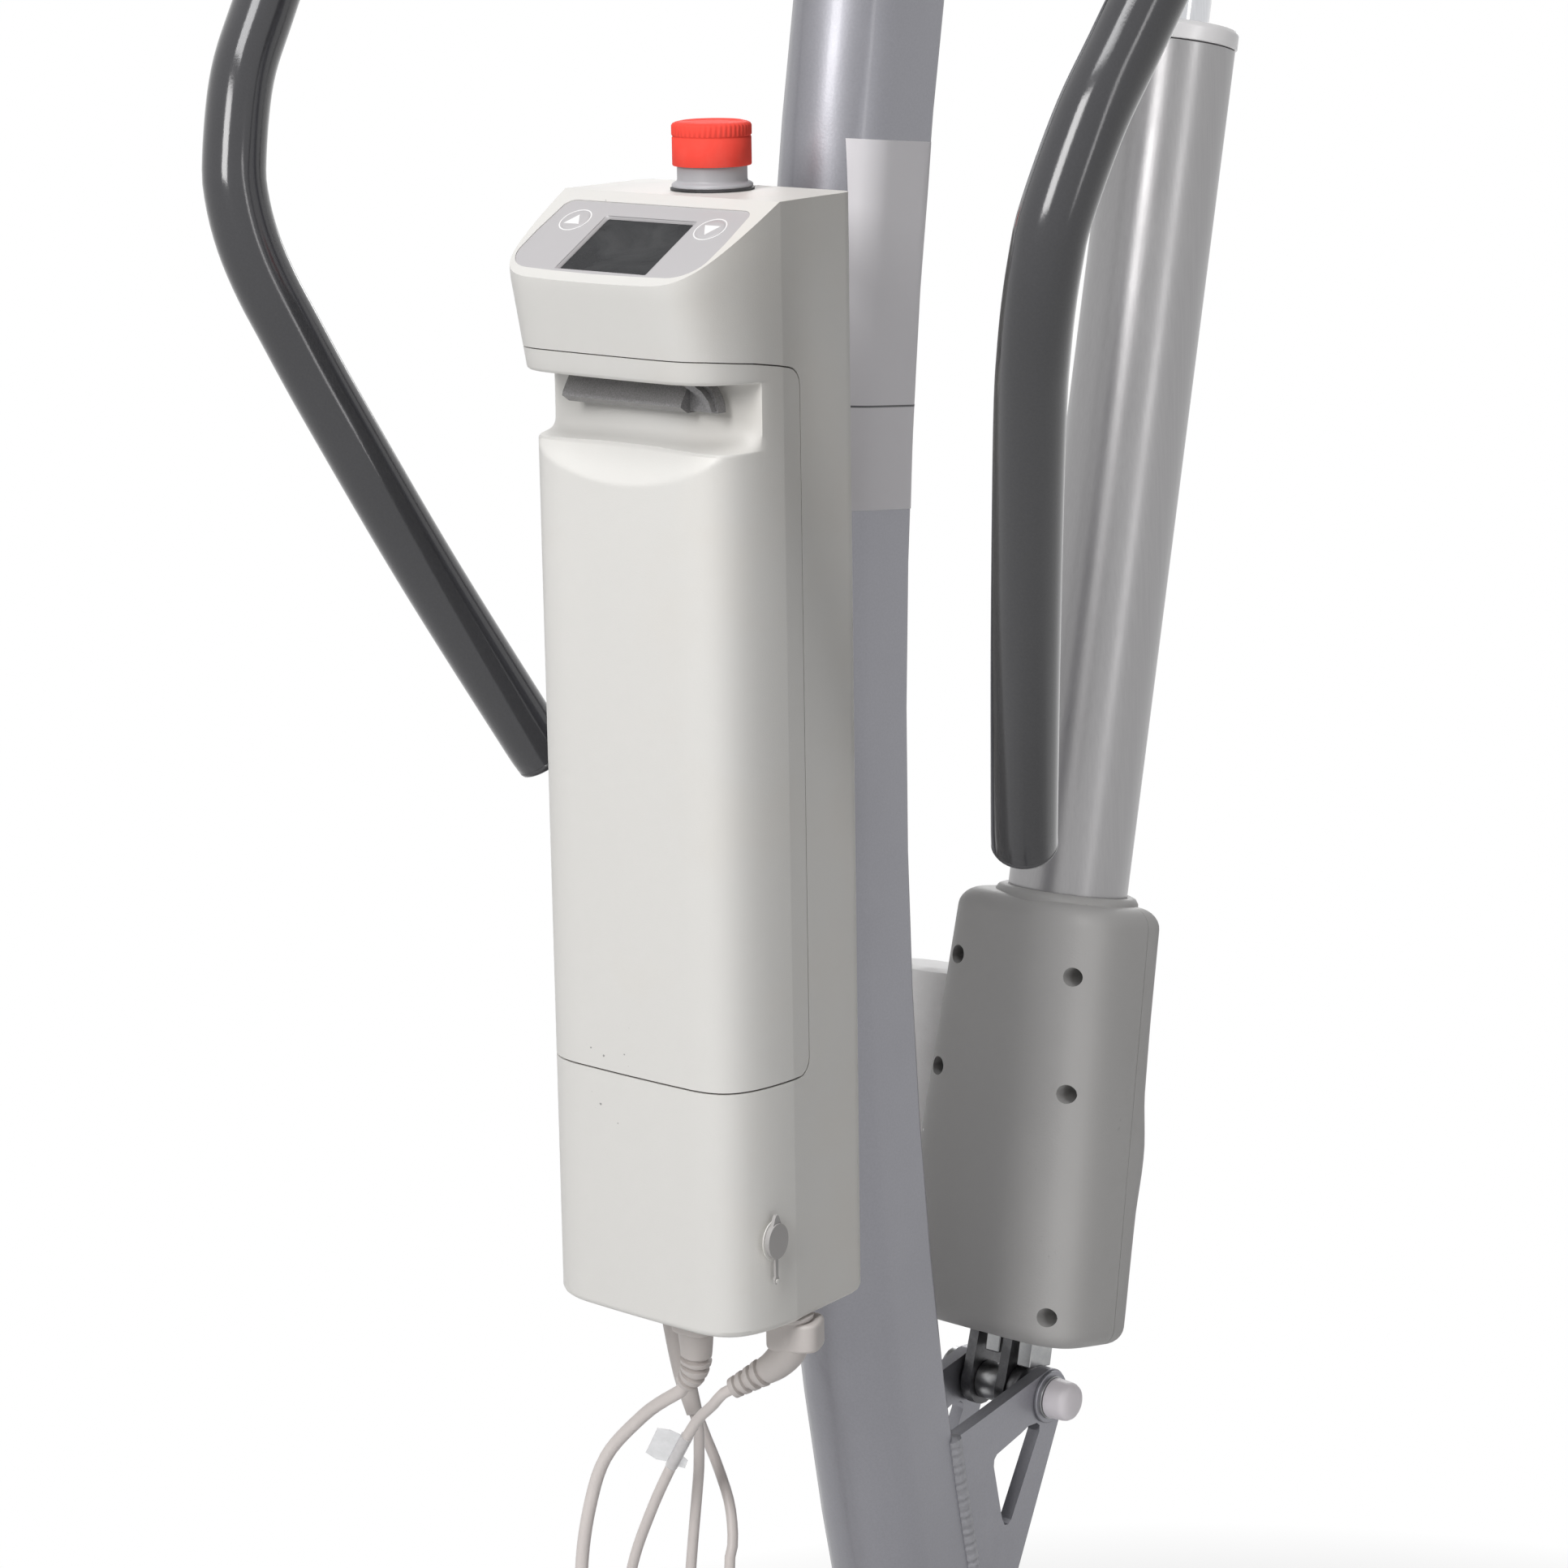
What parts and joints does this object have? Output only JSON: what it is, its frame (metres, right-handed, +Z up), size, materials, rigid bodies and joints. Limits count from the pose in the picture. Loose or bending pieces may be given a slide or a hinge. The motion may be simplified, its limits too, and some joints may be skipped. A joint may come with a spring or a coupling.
{
  "type": "mobile patient lift",
  "caption": "Mobile patient lift with a curved mast, push handles, battery control box, linear actuator, boom with spreader bar and an opening base on casters.",
  "frame": {"origin": "middle of the footprint at floor level, legs closed", "axes": "+X forward to the patient, +Y to the lift's left, +Z up"},
  "size_m": [1.1796, 0.632, 1.863],
  "materials": {
    "silver_coat": "fine metallic powder coat",
    "zinc": "zinc plated",
    "dark_steel": "dark grey coat, semi gloss",
    "black_plastic": "moulded, fine texture",
    "grey_plastic": "moulded, spark texture",
    "light_grey": "moulded, spark texture",
    "mid_grey": "satin",
    "white_plastic": "off-white, fine texture",
    "satin_aluminium": "satin anodised",
    "chrome": "hard chrome, polished",
    "membrane": "printed film",
    "screen": "dark window",
    "stop_red": "red",
    "board_green": "solder mask",
    "tyre": "grey tread",
    "rubber": "soft grey",
    "cable_grey": "light grey sheath"
  },
  "bodies": {
    "chassis": {"base_frame": "silver_coat", "mast": "silver_coat", "boom_yoke": "silver_coat", "boom_pin": "zinc", "push_handle": "dark_steel", "handle_clamp": "black_plastic", "handset_hook": "black_plastic", "handset_body": "grey_plastic", "actuator_bracket": "silver_coat", "lower_pin": "zinc", "right_pin_cap": "white_plastic", "leg_drive_housing": "black_plastic", "control_case": "white_plastic", "keypad_panel": "membrane", "display_window": "screen", "estop_collar": "mid_grey", "circuit_board": "board_green", "back_plate": "grey_plastic", "handset_plug": "grey_plastic", "motor_plug": "grey_plastic", "leg_drive_plug": "grey_plastic", "motor_lead": "cable_grey", "handset_lead": "cable_grey", "leg_drive_lead": "cable_grey"},
    "left_leg": {"left_leg": "silver_coat"},
    "right_leg": {"right_leg": "silver_coat"},
    "leg_drive_bar": {"leg_drive_bar": "zinc"},
    "boom": {"boom": "silver_coat"},
    "hanger": {"hanger": "zinc"},
    "spreader_bar": {"spreader_bar": "zinc"},
    "left_catch": {"left_catch": "zinc"},
    "right_catch": {"right_catch": "zinc"},
    "actuator": {"rear_shell": "grey_plastic", "front_shell": "grey_plastic", "motor_cover": "light_grey", "drive_motor": "dark_steel", "lower_clevis": "dark_steel", "guide_tube": "satin_aluminium", "tube_cap": "satin_aluminium", "spindle": "zinc"},
    "rod": {"piston_rod": "chrome", "upper_pin": "zinc"},
    "estop": {"estop_cap": "stop_red"},
    "up_button": {"up_button": "mid_grey"},
    "down_button": {"down_button": "mid_grey"},
    "battery": {"battery_case": "white_plastic", "battery_cells": "mid_grey"},
    "battery_latch": {"battery_latch": "mid_grey"},
    "rubber_bung": {"rubber_bung": "rubber"},
    "handset_rocker": {"handset_rocker": "mid_grey"},
    "rear_left_fork": {"rear_left_fork": "zinc"},
    "rear_left_wheel": {"rear_left_wheel": "tyre"},
    "rear_left_brake": {"rear_left_brake": "black_plastic"},
    "front_left_fork": {"front_left_fork": "zinc"},
    "front_left_wheel": {"front_left_wheel": "tyre"},
    "rear_right_fork": {"rear_right_fork": "zinc"},
    "rear_right_wheel": {"rear_right_wheel": "tyre"},
    "rear_right_brake": {"rear_right_brake": "black_plastic"},
    "front_right_fork": {"front_right_fork": "zinc"},
    "front_right_wheel": {"front_right_wheel": "tyre"}
  },
  "joints": [
    {"name": "left_leg_swing", "type": "hinge", "parent": "chassis", "child": "left_leg", "pos_m": [-0.2405, 0.29, 0.055], "axis": [0, 0, 1], "range_deg": [0, 10]},
    {"name": "right_leg_swing", "type": "hinge", "parent": "chassis", "child": "right_leg", "pos_m": [-0.2405, -0.29, 0.055], "axis": [0, 0, -1], "range_deg": [0, 10]},
    {"name": "leg_drive_slide", "type": "slide", "parent": "chassis", "child": "leg_drive_bar", "axis": [1, 0, 0], "range_m": [0, 0.0193]},
    {"name": "rear_left_swivel", "type": "hinge", "parent": "chassis", "child": "rear_left_fork", "pos_m": [-0.51, 0.255, 0.11], "axis": [0, 0, 1], "continuous": true},
    {"name": "rear_left_spin", "type": "hinge", "parent": "rear_left_fork", "child": "rear_left_wheel", "pos_m": [-0.54, 0.255, 0.04957], "axis": [0, 1, 0], "continuous": true},
    {"name": "rear_left_brake_tilt", "type": "hinge", "parent": "rear_left_fork", "child": "rear_left_brake", "pos_m": [-0.532, 0.255, 0.1063], "axis": [0, -1, 0], "range_deg": [0, 8]},
    {"name": "front_left_swivel", "type": "hinge", "parent": "left_leg", "child": "front_left_fork", "pos_m": [0.57, 0.29, 0.086], "axis": [0, 0, 1], "continuous": true},
    {"name": "front_left_spin", "type": "hinge", "parent": "front_left_fork", "child": "front_left_wheel", "pos_m": [0.545, 0.29, 0.03718], "axis": [0, 1, 0], "continuous": true},
    {"name": "rear_right_swivel", "type": "hinge", "parent": "chassis", "child": "rear_right_fork", "pos_m": [-0.51, -0.255, 0.11], "axis": [0, 0, 1], "continuous": true},
    {"name": "rear_right_spin", "type": "hinge", "parent": "rear_right_fork", "child": "rear_right_wheel", "pos_m": [-0.54, -0.255, 0.04957], "axis": [0, 1, 0], "continuous": true},
    {"name": "rear_right_brake_tilt", "type": "hinge", "parent": "rear_right_fork", "child": "rear_right_brake", "pos_m": [-0.532, -0.255, 0.1063], "axis": [0, -1, 0], "range_deg": [0, 8]},
    {"name": "front_right_swivel", "type": "hinge", "parent": "right_leg", "child": "front_right_fork", "pos_m": [0.57, -0.29, 0.086], "axis": [0, 0, 1], "continuous": true},
    {"name": "front_right_spin", "type": "hinge", "parent": "front_right_fork", "child": "front_right_wheel", "pos_m": [0.545, -0.29, 0.03718], "axis": [0, 1, 0], "continuous": true},
    {"name": "boom_lift", "type": "hinge", "parent": "chassis", "child": "boom", "pos_m": [-0.3045, 0, 1.442], "axis": [0, -1, 0], "range_deg": [-62.6, 0]},
    {"name": "actuator_tilt", "type": "hinge", "parent": "chassis", "child": "actuator", "pos_m": [-0.2485, 0, 0.59], "axis": [0, -1, 0], "range_deg": [0, 1.5]},
    {"name": "rod_slide", "type": "slide", "parent": "actuator", "child": "rod", "axis": [0.2142, 0, 0.9768], "range_m": [-0.2785, 0]},
    {"name": "hanger_level", "type": "hinge", "parent": "boom", "child": "hanger", "pos_m": [0.45412, 0, 1.84708], "axis": [0, -1, 0], "range_deg": [0, 62.7]},
    {"name": "spreader_turn", "type": "hinge", "parent": "hanger", "child": "spreader_bar", "pos_m": [0.45412, 0, 1.66108], "axis": [0, 0, 1], "continuous": true},
    {"name": "left_catch_tilt", "type": "hinge", "parent": "spreader_bar", "child": "left_catch", "pos_m": [0.45412, 0.163, 1.66108], "axis": [1, 0, 0], "range_deg": [0, 35], "stiffness_Nm_per_rad": 0.02, "springref_deg": -17.19},
    {"name": "right_catch_tilt", "type": "hinge", "parent": "spreader_bar", "child": "right_catch", "pos_m": [0.45412, -0.163, 1.66108], "axis": [-1, 0, 0], "range_deg": [0, 35], "stiffness_Nm_per_rad": 0.02, "springref_deg": -17.19},
    {"name": "estop_press", "type": "slide", "parent": "chassis", "child": "estop", "axis": [0, 0, -1], "range_m": [0, 0.004]},
    {"name": "up_press", "type": "slide", "parent": "chassis", "child": "up_button", "axis": [0.5577, 0, -0.83], "range_m": [0, 0.001], "stiffness_N_per_m": 600},
    {"name": "down_press", "type": "slide", "parent": "chassis", "child": "down_button", "axis": [0.5577, 0, -0.83], "range_m": [0, 0.001], "stiffness_N_per_m": 600},
    {"name": "battery_slide", "type": "slide", "parent": "chassis", "child": "battery", "axis": [-1, 0, 0], "range_m": [0, 0.12]},
    {"name": "battery_latch_lift", "type": "hinge", "parent": "battery", "child": "battery_latch", "pos_m": [-0.4871, 0, 1.085], "axis": [0, 1, 0], "range_deg": [0, 15], "stiffness_Nm_per_rad": 0.3},
    {"name": "bung_pull", "type": "slide", "parent": "chassis", "child": "rubber_bung", "axis": [0, -1, 0], "range_m": [0, 0.012]},
    {"name": "handset_rock", "type": "hinge", "parent": "chassis", "child": "handset_rocker", "pos_m": [-0.3805, 0, 0.325], "axis": [0, 1, 0], "range_deg": [-4, 4], "stiffness_Nm_per_rad": 0.3}
  ],
  "couplings": [
    {"joint": "right_leg_swing", "follows": "left_leg_swing", "ratio": 1},
    {"joint": "leg_drive_slide", "follows": "left_leg_swing", "m_per_rad": 0.10986},
    {"joint": "actuator_tilt", "follows": "boom_lift", "ratio": -0.0236},
    {"joint": "rod_slide", "follows": "boom_lift", "m_per_rad": 0.2543},
    {"joint": "hanger_level", "follows": "boom_lift", "ratio": -1}
  ]
}
